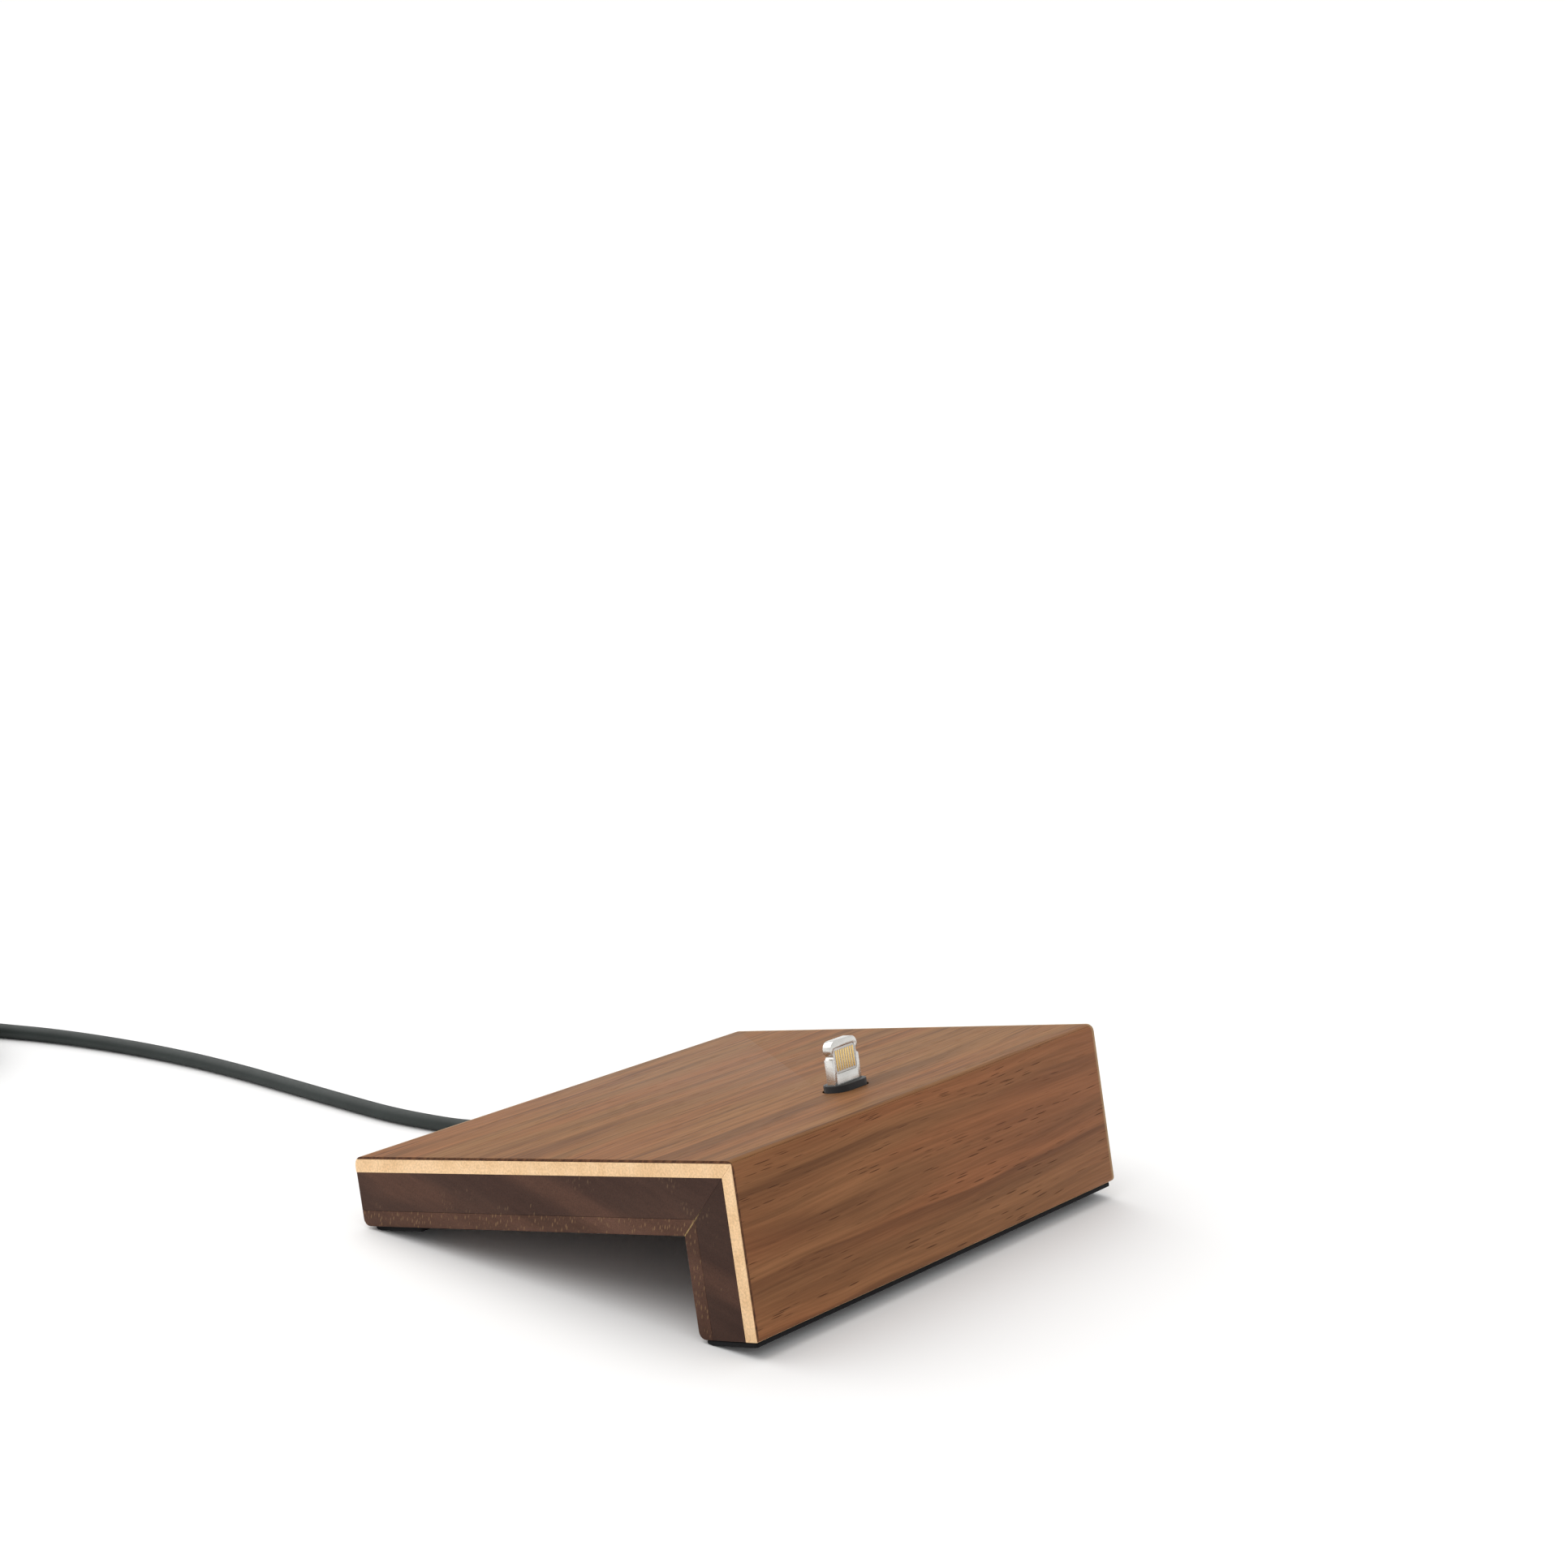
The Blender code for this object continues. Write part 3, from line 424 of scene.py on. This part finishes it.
def moulded(name, colour, roughness, grain, depth=0.02 * MM, **sockets):
    """Moulded plastic or rubber with a fine texture and a little unevenness."""
    recipe = Recipe(name)
    place = row_space(recipe)
    fine = recipe.noise(recipe.stretch(place, (grain, grain, grain)), 3, 0.6)
    broad = recipe.noise(recipe.stretch(place, (0.16, 0.16, 0.16), (3, 1, 2)), 2)
    tint = recipe.tinted(colour, recipe.fade(broad, 0.3, 0.7, 0.9, 1.12))
    rough = recipe.fade(fine, 0.25, 0.75, roughness - 0.05, roughness + 0.06)
    return recipe.finish(tint, rough, fine, depth, 0.4, **sockets)


def metal(name, colour, roughness, brush):
    """Plated metal with a faint brushing along one axis."""
    recipe = Recipe(name)
    place = row_space(recipe)
    scratch = recipe.noise(recipe.stretch(place, brush), 3, 0.6)
    smudge = recipe.noise(recipe.stretch(place, (0.4, 0.4, 0.4)), 2)
    tint = recipe.tinted(colour, recipe.fade(smudge, 0.3, 0.7, 0.93, 1.05))
    rough = recipe.fade(scratch, 0.3, 0.7, roughness - 0.04, roughness + 0.05)
    return recipe.finish(tint, rough, scratch, 0.0005 * MM, 0.1, Metallic=1.0)


def woven_strap():
    """Hook-and-loop strap: fuzzy loops over a fine weave."""
    recipe = Recipe("tie_strap")
    place = row_space(recipe)
    loops = recipe.cells(recipe.stretch(place, (3.4, 3.4, 3.4)))
    fuzz = recipe.noise(recipe.stretch(place, (6, 6, 6)), 3, 0.7)
    # Painted shade: the colour darkens from each loop's middle towards the hollows between loops, where
    # the bumps are low
    colour = recipe.ramp(loops, STRAP_AND_HOLLOW_SHADE)
    height = recipe.number("SUBTRACT", fuzz, loops)
    return recipe.finish(colour, 0.92, height, 0.12 * MM, 0.8, Sheen_Weight=0.25, Sheen_Roughness=0.5)


# ---------------------------------------------------------------- shapes

def add_piece(name, data, material, replaced):
    """A visible piece of the object, in place in the row frame, that stands for CAD nodes."""
    piece = bpy.data.objects.new(name, data)
    bpy.context.scene.collection.objects.link(piece)
    data.materials.clear()
    data.materials.append(material)
    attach(piece, BODY)
    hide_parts(*replaced)
    return piece


def joined_mesh(node):
    """The CAD node's surface as one connected shape, without the edges inside its flat faces."""
    shape = bmesh.new()
    shape.from_mesh(frame["nodes"][node].data)
    bmesh.ops.remove_doubles(shape, verts=shape.verts, dist=WELD)
    bmesh.ops.dissolve_limit(shape, angle_limit=FLAT_ENOUGH, verts=shape.verts, edges=shape.edges)
    return shape


def outside(face):
    """Whether a face of a board's layer is on the outside of the laminated board, not on a glue line."""
    x, back, up = TO_BOARD @ (face.calc_center_median() + face.normal * PROBE)
    in_top = 0 < back < TOP_LENGTH and -BOARD < up < 0
    in_front = 0 < back < BOARD and -FRONT_HEIGHT < up < 0
    normal = TO_BOARD.to_3x3() @ face.normal
    on_mitre = abs(normal.y + normal.z) > MITRE_FACING
    return abs(x) > WIDTH / 2 or not (in_top or in_front or on_mitre)


def as_mesh(name, shape):
    """A mesh of the shape, shaded smooth except across its sharper edges."""
    mesh = bpy.data.meshes.new(name)
    shape.to_mesh(mesh)
    shape.free()
    mesh.shade_smooth()
    mesh.set_sharp_from_angle(angle=SMOOTH_UP_TO)
    return mesh


def detailed(node, material, width, chosen=lambda face: True):
    """A copy of a CAD node that stands for it, with the sharp edges between chosen faces broken."""
    shape = joined_mesh(node)
    edges = [edge for edge in shape.edges
             if len(edge.link_faces) == 2 and edge.calc_face_angle(0) > SHARP_ENOUGH
             and all(chosen(face) for face in edge.link_faces)]
    bmesh.ops.bevel(shape, geom=edges, offset=width, segments=BREAK_SEGMENTS, profile=0.5, affect="EDGES",
                    clamp_overlap=True)
    name = node + "_look"
    add_piece(name, as_mesh(name, shape), material, [node])


def smooth_route(route, spacing):
    """Points at an even spacing along a smooth curve through the route's points."""
    ends = [2 * route[0] - route[1]] + route + [2 * route[-1] - route[-2]]
    fine = []
    for before, start, end, after in zip(ends, ends[1:], ends[2:], ends[3:]):
        for step in range(SPAN_PIECES):
            t = step / SPAN_PIECES
            fine.append(0.5 * (2 * start + (end - before) * t
                               + (2 * before - 5 * start + 4 * end - after) * t ** 2
                               + (3 * start - before - 3 * end + after) * t ** 3))
    fine.append(route[-1])

    travelled = [0]
    for start, end in zip(fine, fine[1:]):
        travelled.append(travelled[-1] + (end - start).length)
    count = round(travelled[-1] / spacing)
    points = [fine[0]]
    after = 1
    for index in range(1, count):
        target = travelled[-1] * index / count
        while travelled[after] < target:
            after += 1
        share = (target - travelled[after - 1]) / (travelled[after] - travelled[after - 1])
        points.append(fine[after - 1].lerp(fine[after], share))
    return points + [fine[-1]]


def eased(share):
    """Smooth step from 0 to 1 as the share goes from 0 to 1."""
    share = min(max(share, 0), 1)
    return share * share * (3 - 2 * share)


def coil_radius(angle):
    """Distance from the coil's centre to the middle of its bundle, which is not quite round."""
    return COIL_RADIUS * (1 + COIL_WAVE * math.sin(angle - COIL_IN) * math.sin(angle - COIL_OUT))


def on_coil(wound):
    """Centre of the cord after winding through an angle from where it meets the coil."""
    angle = COIL_IN + wound
    place = FIRST_PLACE - wound / COIL_PLACES
    radius = coil_radius(angle) + BUNDLE_RADIUS * math.cos(place)
    from_tie = math.remainder(angle - TIE_ANGLE, math.tau)
    lift = TIE_LIFT * math.exp(-(from_tie / TIE_REACH) ** 2)
    height = BUNDLE_HEIGHT + BUNDLE_RADIUS * math.sin(place) + lift
    return COIL_CENTRE + Vector((math.cos(angle) * radius, math.sin(angle) * radius, height))


def cord_points():
    """Whole centreline: out of the strain relief, along the table, round the coil, to the far plug."""
    inside = [BOARD_FRAME @ Vector((0, back, -CORD_DEPTH))
              for back in (CORD_START, CORD_MIDDLE, TOP_LENGTH)]
    wound = COIL_TURNS * math.tau + COIL_OUT - COIL_IN
    steps = round(wound / COIL_STEP)
    coil = [on_coil(wound * step / steps) for step in range(steps + 1)]
    heading_in = (coil[1] - coil[0]).normalized()
    arrival = [coil[0] - heading_in * LAST_STRAIGHT]
    route = inside + [Vector(point) for point in ROUTE_BEHIND] + arrival + [coil[0]]
    heading_out = Vector((-math.sin(COIL_OUT), math.cos(COIL_OUT), 0))
    foot = Vector((coil[-1].x, coil[-1].y, 0))
    lead = [coil[-1]] + [foot + heading_out * along + Vector((0, 0, height))
                         for along, height in FAR_LEAD]
    return smooth_route(route, ROUTE_STEP)[:-1] + coil[:-1] + smooth_route(lead, ROUTE_STEP)


# ---------------------------------------------------------------- the cord

jacket = moulded("cord_jacket", JACKET, 0.5, 1.6, 0.015 * MM, Specular_IOR_Level=0.35)
black_plastic = moulded("black_plastic", PLASTIC_BLACK, 0.42, 3.4, Specular_IOR_Level=0.3)
nickel = metal("nickel", NICKEL, 0.24, (0.5, 0.5, 7))
gold = metal("gold", GOLD, 0.26, (0.6, 0.6, 6))
carrier_plastic = moulded("contact_carrier", CARRIER_WHITE, 0.42, 3)
rubber = moulded("foot_rubber", RUBBER_BLACK, 0.82, 3.2, 0.05 * MM, Specular_IOR_Level=0.2)
screw_steel = metal("screw_steel", ZINC, 0.34, (4, 4, 0.6))
strap = woven_strap()


def add_cord():
    """The whole cord as one tube along its centreline."""
    points = cord_points()
    curve = bpy.data.curves.new("cord_look", "CURVE")
    curve.dimensions = "3D"
    curve.bevel_depth = CORD / 2
    curve.bevel_resolution = 4
    curve.use_fill_caps = True
    spline = curve.splines.new("POLY")
    spline.points.add(len(points) - 1)
    for point, place in zip(spline.points, points):
        point.co = (*place, 1)
    piece = add_piece("cord_look", curve, jacket, ["cord", "cord_coil", "cord_far_lead"])
    far_pieces = [frame["nodes"][node] for node in frame["nodes"] if node.startswith("far_")]
    far_pieces + [add_tie()]


def add_tie():
    """Strap once round the bundle, its end lying over its start."""
    place = (Matrix.Translation(COIL_CENTRE) @ Matrix.Rotation(TIE_ANGLE, 4, "Z")
             @ Matrix.Translation((coil_radius(TIE_ANGLE), 0, BUNDLE_HEIGHT + TIE_LIFT)))
    inside = BUNDLE_RADIUS + CORD / 2 + TIE_CLEARANCE
    shape = bmesh.new()
    rings = []
    for step in range(TIE_STEPS + 1):
        turned = TIE_WRAP * step / TIE_STEPS
        angle = TIE_START + turned
        raised = eased((turned - math.tau + TIE_RAMP) / TIE_RAMP) * TIE_OVERLAP
        out = Vector((math.cos(angle), 0, math.sin(angle)))
        ring = [shape.verts.new(place @ (out * (inside + raised + depth * TIE_THICKNESS)
                                         + Vector((0, across * TIE_WIDTH / 2, 0))))
                for depth, across in TIE_SECTION]
        rings.append(ring)
    for first, second in zip(rings, rings[1:]):
        for corner, vertex in enumerate(first):
            following = (corner + 1) % len(TIE_SECTION)
            shape.faces.new((vertex, first[following], second[following], second[corner]))
    shape.faces.new(rings[0])
    shape.faces.new(list(reversed(rings[-1])))
    bmesh.ops.recalc_face_normals(shape, faces=shape.faces)
    return add_piece("cord_tie_look", as_mesh("cord_tie_look", shape), strap, ["cord_tie"])


# ---------------------------------------------------------------- camera, floor and light

def add_camera():
    camera = bpy.data.objects.new("camera", bpy.data.cameras.new("camera"))
    bpy.context.scene.collection.objects.link(camera)
    camera.location = CAMERA_PLACE
    camera.rotation_euler = CAMERA_TURN
    camera.data.sensor_width = CAMERA_SENSOR
    camera.data.lens = CAMERA_LENS
    camera.data.clip_start = CAMERA_NEAREST
    bpy.context.scene.camera = camera


def add_floor():
    mesh = bpy.data.meshes.new("floor")
    shape = bmesh.new()
    bmesh.ops.create_grid(shape, x_segments=1, y_segments=1, size=FLOOR_SIZE)
    shape.to_mesh(mesh)
    shape.free()
    floor = bpy.data.objects.new("floor", mesh)
    bpy.context.scene.collection.objects.link(floor)
    recipe = Recipe("floor")
    soft = recipe.noise(recipe.stretch(recipe.add("TexCoord", {}, "Object"), (9, 9, 9)), 2)
    mesh.materials.append(recipe.finish(recipe.mix(soft, *FLOOR_GREYS), 0.75))


def add_window():
    """A large soft light far away in one direction."""
    light = bpy.data.lights.new("window", "SUN")
    light.angle = WINDOW_SPREAD
    light.energy = WINDOW_STRENGTH
    light.color = WINDOW_COLOUR
    lamp = bpy.data.objects.new("window", light)
    bpy.context.scene.collection.objects.link(lamp)
    lamp.rotation_euler = Vector(WINDOW_TOWARDS).to_track_quat("Z", "Y").to_euler()


def add_room():
    """A white room, a little brighter near the horizon."""
    world = bpy.data.worlds.new("room")
    world.use_nodes = True
    nodes = world.node_tree.nodes
    links = world.node_tree.links
    place = nodes.new("ShaderNodeTexCoord")
    height = nodes.new("ShaderNodeSeparateXYZ")
    strength = nodes.new("ShaderNodeMapRange")
    strength.interpolation_type = "SMOOTHSTEP"
    for socket, value in ROOM_BRIGHTNESS.items():
        strength.inputs[socket].default_value = value
    links.new(place.outputs["Generated"], height.inputs[0])
    links.new(height.outputs["Z"], strength.inputs["Value"])
    links.new(strength.outputs[0], nodes["Background"].inputs["Strength"])
    nodes["Background"].inputs["Color"].default_value = (1, 1, 1, 1)
    bpy.context.scene.world = world
    bpy.context.scene.view_settings.view_transform = "Standard"


add_camera()
add_floor()
add_room()
add_window()
add_cord()

wood = {
    "veneer": (walnut_face(), "walnut_face"),
    "maple_ply": (maple(), "maple"),
    "core": (end_grain_wood("walnut_core", CORE, CORE_PORE, (0.56, 0.68)), "walnut_core"),
    "backing": (end_grain_wood("walnut_backing", BACKING, BACKING_PORE, (0.26, 0.40)), "walnut_backing"),
}
for facing in ("top", "front"):
    for layer, (material, slot) in wood.items():
        width = VENEER_BREAK if layer == "veneer" else EDGE_BREAK
        detailed(facing + "_" + layer, material, width, outside)

detailed("front_foot", rubber, MOULDED_BREAK)
detailed("rear_foot", rubber, MOULDED_BREAK)
detailed("plug_housing", black_plastic, EDGE_BREAK)
detailed("plug_tongue", nickel, TONGUE_BREAK)
detailed("cover_plate", black_plastic, MOULDED_BREAK)

finishes = {
    "black_plastic": black_plastic,
    "nickel": nickel,
    "gold": gold,
    "contact_carrier": carrier_plastic,
    "screw_steel": screw_steel,
}
slot_of = {entry["node"]: entry["material_slot"] for entry in frame["record"]["subparts"]}
for node, thing in frame["nodes"].items():
    if slot_of[node] in finishes:
        thing.data.materials.clear()
        thing.data.materials.append(finishes[slot_of[node]])
